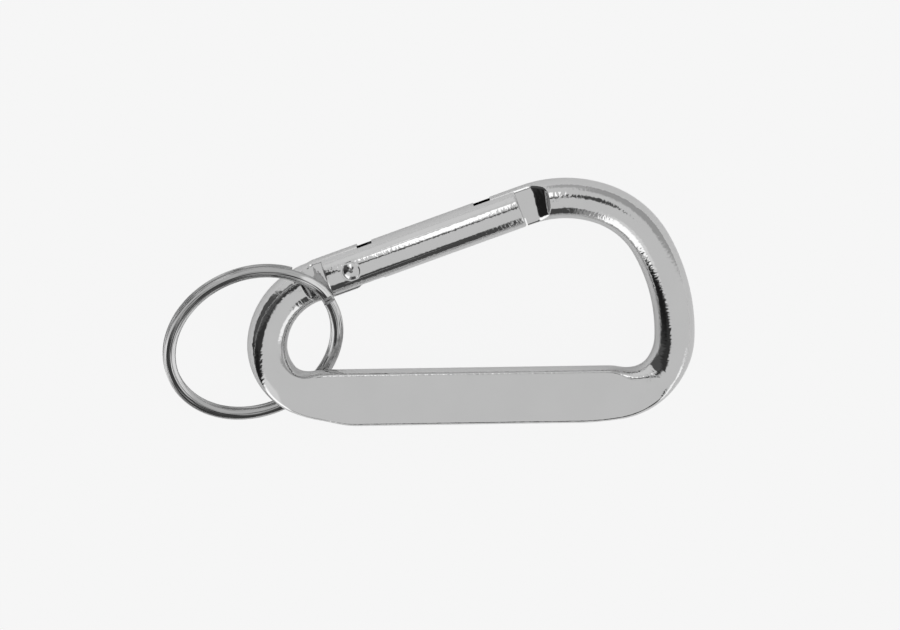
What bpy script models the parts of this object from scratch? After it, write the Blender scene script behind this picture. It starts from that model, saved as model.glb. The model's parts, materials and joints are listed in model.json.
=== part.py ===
"""Carabiner keychain: a bent rod with a pressed spine, a sprung gate and a split ring.

The origin is the middle of the spine's front flat. +X runs along the spine towards the nose end,
+Y from the spine towards the gate, and +Z out of the front flat.
"""
import math

import bmesh
import bpy
from mathutils import Matrix, Vector

MM = 0.001

# Rod and outline of the body
ROD_DIAMETER = 7.0
SPINE_RIGHT = 25.3
CORNER_RADIUS = 10.3
CORNER_TURN = 88.4
SIDE_RADIUS = 31.9
SIDE_TURN = 31.4
SHOULDER_RADIUS = 15.7
SHOULDER_TURN = 40.5
TOP_RADIUS = 19.8
EYE_CORNER_SHARE = 0.746
EYE_CORNER_TURN = 98.6
GATE_ANGLE = 19.25
HINGE_STRAIGHT = 7.15

# Pressed spine
SPINE_WIDTH = 10.06
SPINE_THICKNESS = 4.0
SPINE_FLAT_WIDTH = 8.4
RUN_IN = 7.0
CORNER_INNER_WIDTH_RUN = (-1.5, 9.5)
CORNER_OUTER_WIDTH_RUN = (-6.5, 11.5)
CORNER_DEPTH_RUN = (0.0, 9.0)
CORNER_FLAT_END = 9.0
CORNER_FLAT_SHIFT = 1.5
EYE_INNER_WIDTH_RUN = (0.0, 8.5)
EYE_OUTER_WIDTH_RUN = (-6.0, 3.5)
EYE_DEPTH_RUN = (2.0, 15.0)
EYE_FLAT_END = 14.0
FLAT_RUN_IN = 2.0
FLAT_SHIFT_RUN_OUT = 5.0
ROUND_SIDE_OPENING = 35.0

# Pressed tongues at both ends of the rod
TONGUE_THICKNESS = 2.8
TONGUE_FILLET = 3.0
HINGE_TONGUE_HEIGHT = 7.4
HINGE_TONGUE_REACH = 2.2
HINGE_TONGUE_CLIP = 0.4
NOSE_TONGUE_OVERLAP = 4.4
NOSE_FLAT_SHOWING = 2.4

# Gate
GATE_DIAMETER = 7.0
GATE_LENGTH = 35.7
GATE_NOSE_GAP = 1.2
GATE_EDGE_BEVEL = 0.3
GATE_OPENING = 30.0
PIVOT_FROM_END = 4.6
SLOT_SIDE_CLEARANCE = 0.15
HINGE_SLOT_PAST_PIVOT = 4.9
NOSE_SLOT_LENGTH = 7.4
NOSE_SLOT_FLOOR = 1.3
SEAT_GAP = 0.3
SWING_CLEARANCE = 0.3

# Rivet, with its staked ends let into round flats on the gate
RIVET_DIAMETER = 2.2
RIVET_RUNNING_CLEARANCE = 0.08
RIVET_SEAT_CLEARANCE = 0.03
SPOT_FACE_DIAMETER = 3.6
SPOT_FACE_DEPTH = 0.45
STAKE_HEIGHT = 0.3
STAKE_FLARE = 0.3
STAKE_GAP = 0.1
DIMPLE_DIAMETER = 1.3
DIMPLE_DEPTH = 0.35

# Plunger and spring in the gate's bore
BORE_DIAMETER = 3.0
BORE_DEPTH = 16.0
PLUNGER_CLEARANCE = 0.12
PLUNGER_LENGTH = 4.4
PLUNGER_CENTRE_AT_REST = 3.6
PLUNGER_LIFT_PER_RADIAN = 1.8
CAM_GAP = 0.1
CAM_SPARE = 8.0
SPIGOT_DIAMETER = 1.6
SPIGOT_LENGTH = 1.5
SPRING_WIRE = 0.36
SPRING_SIDE_CLEARANCE = 0.12
SPRING_TURNS = 8
SPRING_END_GAP = 0.1

# Split ring, placed as it lies over the hinge tongue and under the spine
RING_DIAMETER = 32.0
RING_BAND = 2.1
RING_WIRE_THICKNESS = 0.76
RING_TURN_GAP = 0.14
RING_EDGE_RADIUS = 0.34
RING_CROSSOVER = 30.0
RING_END_GAP = 1.0
RING_END_ANGLE = 5.0
RING_REST_BACK = 6.0
RING_REST_INSIDE = 1.45
RING_REST_HEIGHT = 3.75
RING_DROP = 7.475
RING_DIP_DIRECTION = -53.0

# Fineness of the mesh
SECTION_SIDE_STEPS = 9
SECTION_FACE_STEPS = 4
STATION_STEP = 1.6
RUN_OUT_STEP = 0.9
ROUND_SEGMENTS = 40
SMALL_SEGMENTS = 24
SPRING_POINTS_PER_TURN = 10
RING_STEP = 5.0
RUN_IN_STEPS = 5
FILLET_STEPS = 8
CAM_STEPS = 14
ROUND_END_STEPS = 8
CUTTER_SPARE = 2.0

# Sizes worked out from the ones above
ROD_RADIUS = ROD_DIAMETER / 2
MID_PLANE = -SPINE_THICKNESS / 2
GATE_HEADING = math.radians(GATE_ANGLE)
GATE_RADIUS = GATE_DIAMETER / 2
TONGUE_HALF = TONGUE_THICKNESS / 2
SLOT_HALF = TONGUE_HALF + SLOT_SIDE_CLEARANCE
RIVET_RADIUS = RIVET_DIAMETER / 2
BORE_RADIUS = BORE_DIAMETER / 2
PLUNGER_RADIUS = BORE_RADIUS - PLUNGER_CLEARANCE
SPOT_FACE_LEVEL = GATE_RADIUS - SPOT_FACE_DEPTH
GATE_NOSE_END = GATE_LENGTH - PIVOT_FROM_END
NOSE_TIP = GATE_NOSE_END - NOSE_TONGUE_OVERLAP
NOSE_FILLET_START = GATE_NOSE_END + NOSE_FLAT_SHOWING
NOSE_SEAT_LEVEL = NOSE_SLOT_FLOOR - GATE_RADIUS
GATE_SWEEP_RADIUS = math.hypot(PIVOT_FROM_END, GATE_RADIUS)
HINGE_FILLET_START = GATE_SWEEP_RADIUS + SWING_CLEARANCE
TOP_TURN = 180 + GATE_ANGLE - CORNER_TURN - SIDE_TURN - SHOULDER_TURN
RIGHT_ARCS = ((CORNER_RADIUS, CORNER_TURN, RUN_OUT_STEP), (SIDE_RADIUS, SIDE_TURN, STATION_STEP),
              (SHOULDER_RADIUS, SHOULDER_TURN, STATION_STEP), (TOP_RADIUS, TOP_TURN, STATION_STEP))
EYE_TURN = 180 - GATE_ANGLE - EYE_CORNER_TURN
CORNER_RUNS = (CORNER_OUTER_WIDTH_RUN, CORNER_INNER_WIDTH_RUN, CORNER_DEPTH_RUN, CORNER_FLAT_END,
               CORNER_FLAT_SHIFT)
EYE_RUNS = (EYE_OUTER_WIDTH_RUN, EYE_INNER_WIDTH_RUN, EYE_DEPTH_RUN, EYE_FLAT_END, 0.0)
RING_MEAN_RADIUS = (RING_DIAMETER - RING_BAND) / 2
RING_PITCH = RING_WIRE_THICKNESS + RING_TURN_GAP


def clear_scene():
    for item in list(bpy.data.objects):
        bpy.data.objects.remove(item, do_unlink=True)


def new_collection(name):
    collection = bpy.data.collections.get(name)
    if collection is None:
        collection = bpy.data.collections.new(name)
        bpy.context.scene.collection.children.link(collection)
    return collection


def metal(name, colour, roughness):
    material = bpy.data.materials.new(name)
    material.use_nodes = True
    surface = material.node_tree.nodes["Principled BSDF"]
    surface.inputs["Base Color"].default_value = (*colour, 1.0)
    surface.inputs["Metallic"].default_value = 1.0
    surface.inputs["Roughness"].default_value = roughness
    return material


def mesh_object(name, collection, mesh, matrix=Matrix.Identity(4)):
    item = bpy.data.objects.new(name, mesh)
    item.matrix_world = matrix
    collection.objects.link(item)
    return item


def finish_piece(item, material, sharp_angle=35.0):
    """Give a piece its material and smooth its round faces."""
    item.data.materials.clear()
    item.data.materials.append(material)
    item.data.shade_smooth()
    item.data.set_sharp_from_angle(angle=math.radians(sharp_angle))


def walk(start, heading, arcs):
    """Stations (distance, x, y, heading) along a chain of (radius, turn in degrees, step) arcs."""
    x, y = start
    distance = 0.0
    stations = [(distance, x, y, heading)]
    for radius, turn, step in arcs:
        length = radius * abs(math.radians(turn))
        count = math.ceil(length / step)
        part_turn = math.radians(turn) / count
        chord = 2 * radius * math.sin(abs(part_turn) / 2)
        for _ in range(count):
            x += chord * math.cos(heading + part_turn / 2)
            y += chord * math.sin(heading + part_turn / 2)
            heading += part_turn
            distance += length / count
            stations.append((distance, x, y, heading))
    return stations


def smooth_step(value, start, end):
    share = min(1.0, max(0.0, (value - start) / (end - start)))
    return share * share * (3 - 2 * share)


def rod_section(distance, half_height, runs):
    """Outline of the rod, from the pressed spine (distance below zero) to full round.

    half_height is the half width of the round rod across the plane of the hook. runs are the
    stretches over which the outer and the inner half width and the depth turn into the round rod's,
    the end of the flat, and how far outwards its tip lies.
    """
    outer_run, inner_run, depth_run, flat_end, flat_shift = runs
    share = min(1.0, max(0.0, (distance + FLAT_RUN_IN) / (flat_end + FLAT_RUN_IN)))
    shift = flat_shift * share * share
    shift *= 1 - smooth_step(distance, flat_end, flat_end + FLAT_SHIFT_RUN_OUT)
    press = smooth_step(distance, *depth_run)
    half_depth = SPINE_THICKNESS / 2 + (ROD_RADIUS - SPINE_THICKNESS / 2) * press
    open_angle = math.radians(ROUND_SIDE_OPENING) * press
    side_angle = math.pi / 2 - open_angle
    flats = {}
    edges = {}
    for side, run in ((1, outer_run), (-1, inner_run)):
        half_width = SPINE_WIDTH / 2 + (half_height - SPINE_WIDTH / 2) * smooth_step(distance, *run)
        flats[side] = half_width * SPINE_FLAT_WIDTH / SPINE_WIDTH * (1 - share * share) + side * shift
        edges[side] = half_width - flats[side]
    points = []
    for side in (1, -1):
        for index in range(SECTION_SIDE_STEPS + 1):
            angle = side_angle * (2 * index / SECTION_SIDE_STEPS - 1)
            points.append((side * (flats[side] + edges[side] * math.cos(angle)),
                           side * half_depth * math.sin(angle)))
        for index in range(1, SECTION_FACE_STEPS):
            along = 1 - 2 * index / SECTION_FACE_STEPS
            half = side if along > 0 else -side
            middle = side * shift
            across = middle + (flats[half] - half * shift) * along
            across += edges[half] * math.sin(open_angle * along)
            points.append((side * across, side * half_depth * math.cos(open_angle * along)))
    return points


def loft(name, rings):
    """Closed mesh through rings of points that all have the same count, in millimetres."""
    mesh = bmesh.new()
    rows = [[mesh.verts.new(Vector(point) * MM) for point in ring] for ring in rings]
    for row, after in zip(rows, rows[1:]):
        for index in range(len(row)):
            beside = (index + 1) % len(row)
            mesh.faces.new((row[index], row[beside], after[beside], after[index]))
    mesh.faces.new(list(reversed(rows[0])))
    mesh.faces.new(rows[-1])
    bmesh.ops.recalc_face_normals(mesh, faces=mesh.faces)
    result = bpy.data.meshes.new(name)
    mesh.to_mesh(result)
    mesh.free()
    return result


def prism(name, outline, low, high):
    """Upright prism over an outline of (x, y) points, in millimetres."""
    return loft(name, [[(x, y, low) for x, y in outline], [(x, y, high) for x, y in outline]])


def cylinder(name, radius, low, high, segments):
    """Cylinder along Z, in millimetres."""
    mesh = bmesh.new()
    middle = Matrix.Translation((0, 0, (low + high) / 2 * MM))
    bmesh.ops.create_cone(mesh, cap_ends=True, segments=segments, radius1=radius * MM,
                          radius2=radius * MM, depth=(high - low) * MM, matrix=middle)
    result = bpy.data.meshes.new(name)
    mesh.to_mesh(result)
    mesh.free()
    return result


def box(name, low, high):
    """Box between two corners, in millimetres."""
    mesh = bmesh.new()
    bmesh.ops.create_cube(mesh, size=1.0)
    for vert in mesh.verts:
        share = vert.co + Vector((0.5, 0.5, 0.5))
        vert.co = Vector([(a + (b - a) * s) * MM for a, b, s in zip(low, high, share)])
    result = bpy.data.meshes.new(name)
    mesh.to_mesh(result)
    mesh.free()
    return result


def cut(item, name, mesh, matrix):
    """Cut a mesh, placed by a matrix, out of an item."""
    cutter = mesh_object(name, CUTTERS, mesh, matrix)
    cutter.hide_render = True
    cutter.display_type = "WIRE"
    modifier = item.modifiers.new(name, "BOOLEAN")
    modifier.operation = "DIFFERENCE"
    modifier.solver = "EXACT"
    modifier.object = cutter


def eye_arcs(radius):
    """The eye's two arcs: the tighter corner at the spine, then round to the hinge."""
    return ((radius * EYE_CORNER_SHARE, -EYE_CORNER_TURN, RUN_OUT_STEP),
            (radius, -EYE_TURN, RUN_OUT_STEP))


def rod_layout():
    """Right half, left half and hinge pivot of the rod's centre line.

    Each half is a list of (distance from the spine, x, y, heading, half height).
    """
    right = walk((SPINE_RIGHT, 0), 0.0, RIGHT_ARCS)
    arc_end = Vector(right[-1][1:3])
    hingeward = -Vector((math.cos(GATE_HEADING), math.sin(GATE_HEADING)))
    pivot = arc_end + hingeward * (GATE_NOSE_GAP + GATE_NOSE_END)
    nose_tip = pivot - hingeward * NOSE_TIP
    far = right[-1][0] + (nose_tip - arc_end).length
    right.append((far, nose_tip.x, nose_tip.y, right[-1][3]))
    right = [(*station, ROD_RADIUS) for station in right]

    # The eye takes the radius at which it comes out on the gate's own line, at the hinge.
    arc_end = pivot + hingeward * HINGE_STRAIGHT
    _, unit_reach, unit_rise, _ = walk((0, 0), math.pi, eye_arcs(1.0))[-1]
    eye_radius = arc_end.y / unit_rise
    spine_left = arc_end.x - eye_radius * unit_reach
    left = walk((spine_left, 0), math.pi, eye_arcs(eye_radius))
    left = [(*station, ROD_RADIUS) for station in left]
    far, heading = left[-1][0], left[-1][3]
    for along in (-HINGE_FILLET_START, HINGE_TONGUE_REACH + CUTTER_SPARE):
        place = pivot - hingeward * along
        distance = far + (place - arc_end).length
        left.append((distance, place.x, place.y, heading, HINGE_TONGUE_HEIGHT / 2))
    return right, left, pivot


def body_rings(right, left):
    """Sections from the hinge tongue round the eye, along the spine and on to the nose."""
    rings = []
    for distance, x, y, heading, half_height in reversed(left):
        outward = (-math.sin(heading), math.cos(heading))
        rings.append([(x + outward[0] * a, y + outward[1] * a, MID_PLANE + b)
                      for a, b in rod_section(distance, half_height, EYE_RUNS)])
    insets = [RUN_IN * index / RUN_IN_STEPS for index in range(1, RUN_IN_STEPS + 1)]
    places = [(left[0][1] + inset, inset, EYE_RUNS) for inset in insets]
    places += [(SPINE_RIGHT - inset, inset, CORNER_RUNS) for inset in reversed(insets)]
    for x, inset, runs in places:
        rings.append([(x, -a, MID_PLANE + b) for a, b in rod_section(-inset, ROD_RADIUS, runs)])
    for distance, x, y, heading, half_height in right:
        outward = (math.sin(heading), -math.cos(heading))
        rings.append([(x + outward[0] * a, y + outward[1] * a, MID_PLANE + b)
                      for a, b in rod_section(distance, half_height, CORNER_RUNS)])
    return rings


def tongue_cutter(name, free_end, fillet_start, side):
    """Slab that presses one face of a tongue flat and runs up to the round rod in a hollow fillet.

    It is drawn along the gate's axis, from beyond the tongue's free end to the fillet.
    """
    away = math.copysign(1.0, fillet_start - free_end)
    top = TONGUE_HALF + TONGUE_FILLET + CUTTER_SPARE
    profile = [(free_end - away * CUTTER_SPARE, TONGUE_HALF)]
    for index in range(FILLET_STEPS + 1):
        angle = math.pi / 2 * index / FILLET_STEPS
        profile.append((fillet_start + away * TONGUE_FILLET * math.sin(angle),
                        TONGUE_HALF + TONGUE_FILLET * (1 - math.cos(angle))))
    profile.append((fillet_start + away * TONGUE_FILLET, top))
    profile.append((free_end - away * CUTTER_SPARE, top))
    wide = ROD_DIAMETER
    return loft(name, [[(x, y, side * z) for x, z in profile] for y in (-wide, wide)])


def tongue_tip_outline():
    """What is cut off past the hinge tongue's tip, about the pivot with the gate's axis along +X.

    The plunger's round end has its centre PLUNGER_CENTRE_AT_REST out along the gate's axis, and the
    tongue pushes it out by PLUNGER_LIFT_PER_RADIAN as the gate opens. The cam lies one plunger
    radius and a running gap inside the path of that centre.
    """
    offset = PLUNGER_RADIUS + CAM_GAP
    cam = []
    for index in range(CAM_STEPS + 1):
        open_by = math.radians(-CAM_SPARE + (GATE_OPENING + 2 * CAM_SPARE) * index / CAM_STEPS)
        outward = Vector((math.cos(open_by), -math.sin(open_by)))
        onward = Vector((-math.sin(open_by), -math.cos(open_by)))
        radius = PLUNGER_CENTRE_AT_REST + PLUNGER_LIFT_PER_RADIAN * open_by
        along = outward * PLUNGER_LIFT_PER_RADIAN + onward * radius
        inward = Vector((along.y, -along.x)).normalized()
        cam.append(outward * radius + inward * offset)
    edge = HINGE_TONGUE_HEIGHT / 2
    reach = HINGE_TONGUE_REACH
    inner_corner = Vector((-HINGE_TONGUE_CLIP, -edge))
    past_corner = inner_corner + (inner_corner - cam[-1]).normalized() * CUTTER_SPARE
    outline = [(reach, edge + CUTTER_SPARE), (reach, cam[0].y + PLUNGER_RADIUS / 2)]
    outline += [tuple(point) for point in cam]
    outline += [tuple(past_corner), (reach + 2 * CUTTER_SPARE, past_corner.y)]
    outline.append((reach + 2 * CUTTER_SPARE, edge + CUTTER_SPARE))
    return outline


def make_body(right, left, gate_frame, material):
    """Bent rod with its spine pressed flat and both ends pressed into tongues."""
    body = mesh_object("body", PARTS, loft("body", body_rings(right, left)))
    for side, word in ((1, "front"), (-1, "back")):
        hinge = tongue_cutter("hinge_press_" + word, HINGE_TONGUE_REACH + CUTTER_SPARE,
                              -HINGE_FILLET_START, side)
        cut(body, hinge.name, hinge, gate_frame)
        nose = tongue_cutter("nose_press_" + word, NOSE_TIP, NOSE_FILLET_START, side)
        cut(body, nose.name, nose, gate_frame)
    tip = prism("hinge_tongue_tip", tongue_tip_outline(), -ROD_RADIUS, ROD_RADIUS)
    cut(body, tip.name, tip, gate_frame)
    hole = cylinder("pivot_hole", RIVET_RADIUS + RIVET_RUNNING_CLEARANCE, -ROD_RADIUS, ROD_RADIUS,
                    SMALL_SEGMENTS)
    cut(body, hole.name, hole, gate_frame)
    seat = box("nose_seat", (NOSE_TIP - CUTTER_SPARE, -ROD_DIAMETER, -ROD_RADIUS),
               (GATE_NOSE_END + SEAT_GAP, NOSE_SEAT_LEVEL + SEAT_GAP, ROD_RADIUS))
    cut(body, seat.name, seat, gate_frame)
    finish_piece(body, material)


def make_gate(gate_frame, material):
    """Round gate, slotted for both tongues and bored for the spring."""
    along_gate = Matrix.Rotation(math.pi / 2, 4, "Y")
    rod = cylinder("gate", GATE_RADIUS, -PIVOT_FROM_END, GATE_NOSE_END, ROUND_SEGMENTS)
    rod.transform(along_gate)
    gate = mesh_object("gate", PARTS, rod, gate_frame)
    bevel = gate.modifiers.new("ends", "BEVEL")
    bevel.width = GATE_EDGE_BEVEL * MM
    bevel.segments = 2
    bevel.limit_method = "ANGLE"
    bevel.angle_limit = math.radians(60)
    wide = GATE_DIAMETER
    hinge_slot = box("hinge_slot", (-PIVOT_FROM_END - CUTTER_SPARE, -wide, -SLOT_HALF),
                     (HINGE_SLOT_PAST_PIVOT, wide, SLOT_HALF))
    cut(gate, hinge_slot.name, hinge_slot, gate_frame)
    nose_slot = box("nose_slot", (GATE_NOSE_END - NOSE_SLOT_LENGTH, NOSE_SEAT_LEVEL, -SLOT_HALF),
                    (GATE_NOSE_END + CUTTER_SPARE, wide, SLOT_HALF))
    cut(gate, nose_slot.name, nose_slot, gate_frame)
    bore = cylinder("spring_bore", BORE_RADIUS, HINGE_SLOT_PAST_PIVOT - CUTTER_SPARE, BORE_DEPTH,
                    SMALL_SEGMENTS)
    cut(gate, bore.name, bore, gate_frame @ along_gate)
    hole = cylinder("rivet_hole", RIVET_RADIUS + RIVET_SEAT_CLEARANCE, -wide, wide, SMALL_SEGMENTS)
    cut(gate, hole.name, hole, gate_frame)
    for side, word in ((1, "front"), (-1, "back")):
        low, high = sorted((side * SPOT_FACE_LEVEL, side * wide))
        spot = cylinder("spot_face_" + word, SPOT_FACE_DIAMETER / 2, low, high, SMALL_SEGMENTS)
        cut(gate, spot.name, spot, gate_frame)
    finish_piece(gate, material)


def turned(name, profile, matrix, material):
    """Turned piece from a profile of (radius, height) points that runs from top to bottom."""
    mesh = bpy.data.meshes.new(name)
    points = [(radius * MM, 0, height * MM) for radius, height in profile]
    mesh.from_pydata(points, [(i, i + 1) for i in range(len(points) - 1)], [])
    item = mesh_object(name, PARTS, mesh, matrix)
    screw = item.modifiers.new("turned", "SCREW")
    screw.steps = SMALL_SEGMENTS
    screw.render_steps = SMALL_SEGMENTS
    screw.use_merge_vertices = True
    screw.merge_threshold = 0.000001
    screw.use_smooth_shade = True
    mesh.materials.append(material)
    return item


def make_rivet(gate_frame, material):
    """Rivet through gate and tongue, both ends staked with a punch."""
    head = RIVET_RADIUS + STAKE_FLARE
    low = SPOT_FACE_LEVEL + STAKE_GAP
    top = low + STAKE_HEIGHT
    half = [(0, top - DIMPLE_DEPTH), (DIMPLE_DIAMETER / 2, top), (head - STAKE_HEIGHT / 2, top),
            (head, top - STAKE_HEIGHT / 2), (head, low), (RIVET_RADIUS, low)]
    profile = half + [(radius, -height) for radius, height in reversed(half)]
    turned("hinge_rivet", profile, gate_frame, material)


def make_plunger(gate_frame, material):
    """Pusher with a round end on the tongue's cam and a spigot inside the spring."""
    far_end = PLUNGER_LENGTH + SPIGOT_LENGTH
    profile = [(0, far_end), (SPIGOT_DIAMETER / 2, far_end), (SPIGOT_DIAMETER / 2, PLUNGER_LENGTH),
               (PLUNGER_RADIUS, PLUNGER_LENGTH)]
    for index in range(ROUND_END_STEPS + 1):
        angle = math.pi / 2 * index / ROUND_END_STEPS
        profile.append((PLUNGER_RADIUS * math.cos(angle), -PLUNGER_RADIUS * math.sin(angle)))
    profile[-1] = (0, -PLUNGER_RADIUS)
    centre = Matrix.Translation((PLUNGER_CENTRE_AT_REST * MM, 0, 0))
    turned("spring_plunger", profile, gate_frame @ centre @ Matrix.Rotation(math.pi / 2, 4, "Y"),
           material)


def wire(name, points, matrix, material, bevel_depth=0.0, section=None):
    """Closed solid along a chain of points in millimetres: round, or with a section of its own."""
    curve = bpy.data.curves.new(name, "CURVE")
    curve.dimensions = "3D"
    curve.twist_mode = "Z_UP"
    curve.use_fill_caps = True
    curve.bevel_resolution = 1
    if section:
        curve.bevel_mode = "OBJECT"
        curve.bevel_object = section
    else:
        curve.bevel_depth = bevel_depth * MM
    spline = curve.splines.new("POLY")
    spline.points.add(len(points) - 1)
    for knot, point in zip(spline.points, points):
        knot.co = (*(Vector(point) * MM), 1.0)
    guide = mesh_object(name + "_guide", CUTTERS, curve, matrix)
    bpy.context.view_layer.update()
    evaluated = guide.evaluated_get(bpy.context.evaluated_depsgraph_get())
    mesh = bpy.data.meshes.new_from_object(evaluated)
    mesh.name = name
    bpy.data.objects.remove(guide, do_unlink=True)
    welded = bmesh.new()
    welded.from_mesh(mesh)
    bmesh.ops.remove_doubles(welded, verts=welded.verts, dist=0.000001)
    bmesh.ops.recalc_face_normals(welded, faces=welded.faces)
    welded.to_mesh(mesh)
    welded.free()
    item = mesh_object(name, PARTS, mesh, matrix)
    finish_piece(item, material)
    return item


def least_gap(points, points_per_turn, thickness):
    """Smallest distance between a coil's neighbouring turns, less the wire's thickness."""
    centres = [Vector(point) for point in points]
    gap = math.inf
    for index, centre in enumerate(centres):
        for other in centres[index + points_per_turn // 2:index + 2 * points_per_turn]:
            gap = min(gap, (other - centre).length - thickness)
    return gap


def make_spring(gate_frame, material):
    """Compression spring between the plunger's shoulder and the end of the bore."""
    radius = BORE_RADIUS - SPRING_SIDE_CLEARANCE - SPRING_WIRE / 2
    start = PLUNGER_CENTRE_AT_REST + PLUNGER_LENGTH + SPRING_END_GAP + SPRING_WIRE / 2
    end = BORE_DEPTH - SPRING_END_GAP - SPRING_WIRE / 2
    count = SPRING_TURNS * SPRING_POINTS_PER_TURN
    points = []
    for index in range(count + 1):
        angle = 2 * math.pi * index / SPRING_POINTS_PER_TURN
        along = start + (end - start) * index / count
        points.append((along, radius * math.cos(angle), radius * math.sin(angle)))
    wire("gate_spring", points, gate_frame, material, bevel_depth=SPRING_WIRE / 2)
    print("gate_spring least gap, mm:", round(least_gap(points, SPRING_POINTS_PER_TURN, SPRING_WIRE), 3))


def ring_section():
    """Rounded oblong section of the ring's flat wire, as a guide curve."""
    across = RING_BAND / 2 - RING_EDGE_RADIUS
    through = RING_WIRE_THICKNESS / 2 - RING_EDGE_RADIUS
    corners = [(across, through, 0), (-across, through, 90), (-across, -through, 180),
               (across, -through, 270)]
    curve = bpy.data.curves.new("ring_section", "CURVE")
    curve.dimensions = "2D"
    spline = curve.splines.new("POLY")
    knots = [(x + RING_EDGE_RADIUS * math.cos(math.radians(first + turn)),
              y + RING_EDGE_RADIUS * math.sin(math.radians(first + turn)))
             for x, y, first in corners for turn in (0, 45, 90)]
    spline.points.add(len(knots) - 1)
    spline.use_cyclic_u = True
    for knot, (x, y) in zip(spline.points, knots):
        knot.co = (x * MM, y * MM, 0, 1)
    guide = mesh_object("ring_section", CUTTERS, curve)
    guide.hide_render = True
    return guide


def make_ring(gate_frame, material):
    """Split ring: flat wire wound twice, stepping from one layer to the other at its ends.

    It rests on the hinge tongue, behind the gate, and from there it drops under the spine. Its
    origin is the middle of the line where its plane cuts the body's middle plane, on which it
    swings, and its own X axis lies on that line.
    """
    tilt = math.asin(RING_DROP / RING_MEAN_RADIUS)
    dip = math.radians(RING_DIP_DIRECTION)
    normal = Vector((math.sin(tilt) * math.cos(dip), math.sin(tilt) * math.sin(dip), math.cos(tilt)))
    axis = Vector((-math.sin(dip), math.cos(dip), 0))
    uphill = normal.cross(axis)
    to_centre = RING_REST_HEIGHT / math.sin(tilt)
    rest = gate_frame @ (Vector((-RING_REST_BACK, -RING_REST_INSIDE, RING_REST_HEIGHT)) * MM) / MM
    swing = rest - axis * RING_MEAN_RADIUS - uphill * to_centre
    frame = Matrix.Translation(swing * MM) @ Matrix((axis, uphill, normal)).transposed().to_4x4()
    end_gap = math.degrees(RING_END_GAP / RING_MEAN_RADIUS)
    begin = RING_CROSSOVER / 2 + end_gap
    finish = 720 - begin
    count = math.ceil((finish - begin) / RING_STEP)
    points = []
    for index in range(count + 1):
        turned_by = begin + (finish - begin) * index / count
        layer = smooth_step(turned_by, 360 - RING_CROSSOVER / 2, 360 + RING_CROSSOVER / 2) - 0.5
        angle = math.radians(turned_by + RING_END_ANGLE)
        points.append((RING_MEAN_RADIUS * math.cos(angle),
                       to_centre + RING_MEAN_RADIUS * math.sin(angle), RING_PITCH * layer))
    section = ring_section()
    wire("split_ring", points, frame, material, section=section)
    print("split_ring swings at, m:", tuple(round(v * MM, 6) for v in swing),
          "axis", tuple(round(v, 6) for v in axis))


def main():
    right, left, pivot = rod_layout()
    gate_frame = Matrix.Translation(Vector((pivot.x, pivot.y, MID_PLANE)) * MM)
    gate_frame = gate_frame @ Matrix.Rotation(GATE_HEADING, 4, "Z")
    aluminium = metal("polished_aluminium", (0.80, 0.80, 0.81), 0.18)
    gate_metal = metal("gate_aluminium", (0.82, 0.82, 0.83), 0.16)
    rivet_metal = metal("rivet_aluminium", (0.78, 0.78, 0.79), 0.22)
    spring_steel = metal("spring_steel", (0.50, 0.50, 0.51), 0.30)
    plunger_steel = metal("plunger_steel", (0.58, 0.58, 0.59), 0.28)
    ring_steel = metal("nickel_plated_steel", (0.62, 0.61, 0.60), 0.15)
    make_body(right, left, gate_frame, aluminium)
    make_gate(gate_frame, gate_metal)
    make_rivet(gate_frame, rivet_metal)
    make_plunger(gate_frame, plunger_steel)
    make_spring(gate_frame, spring_steel)
    make_ring(gate_frame, ring_steel)
    print("gate pivot, m:", round(pivot.x * MM, 6), round(pivot.y * MM, 6), MID_PLANE * MM)
    print("spine left end, mm:", round(left[0][1], 3))


clear_scene()
PARTS = new_collection("carabiner_keychain")
CUTTERS = new_collection("cutters")
main()
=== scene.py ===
import json
import math

import bpy
from mathutils import Matrix, Vector
from mathutils.kdtree import KDTree


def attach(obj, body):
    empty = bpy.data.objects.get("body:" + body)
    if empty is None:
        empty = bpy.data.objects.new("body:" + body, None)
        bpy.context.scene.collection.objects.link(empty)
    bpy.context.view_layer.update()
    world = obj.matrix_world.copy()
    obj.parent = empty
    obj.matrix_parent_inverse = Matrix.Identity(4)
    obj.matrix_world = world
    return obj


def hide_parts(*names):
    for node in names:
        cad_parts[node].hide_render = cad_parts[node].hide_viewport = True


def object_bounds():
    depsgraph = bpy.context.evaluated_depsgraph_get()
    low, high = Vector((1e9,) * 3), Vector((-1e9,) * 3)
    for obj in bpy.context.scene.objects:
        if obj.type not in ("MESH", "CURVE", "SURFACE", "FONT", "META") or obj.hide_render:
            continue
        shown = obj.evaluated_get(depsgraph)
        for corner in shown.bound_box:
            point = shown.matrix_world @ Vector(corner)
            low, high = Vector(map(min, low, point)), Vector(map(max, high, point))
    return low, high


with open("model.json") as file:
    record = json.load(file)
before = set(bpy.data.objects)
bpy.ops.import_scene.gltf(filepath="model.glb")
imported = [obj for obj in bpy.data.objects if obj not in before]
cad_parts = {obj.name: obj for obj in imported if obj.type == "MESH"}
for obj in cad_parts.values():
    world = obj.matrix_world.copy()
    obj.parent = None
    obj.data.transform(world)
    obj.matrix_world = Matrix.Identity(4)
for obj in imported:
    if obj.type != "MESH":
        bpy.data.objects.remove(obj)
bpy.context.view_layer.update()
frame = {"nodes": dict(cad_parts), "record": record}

# ----------------------------------------------------------------------------------------------
# Body: one 7 mm aluminium rod, polished after forming. It is made here as it is in the works: a
# straight round bar, pressed flat in the middle for the spine and at both ends for the tongues,
# then bent round.
MM = 0.001
ROD_RADIUS = 3.5
MID_PLANE = -2.0
GATE_HEADING = math.radians(19.25)
SPINE_RIGHT = 25.3
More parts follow.
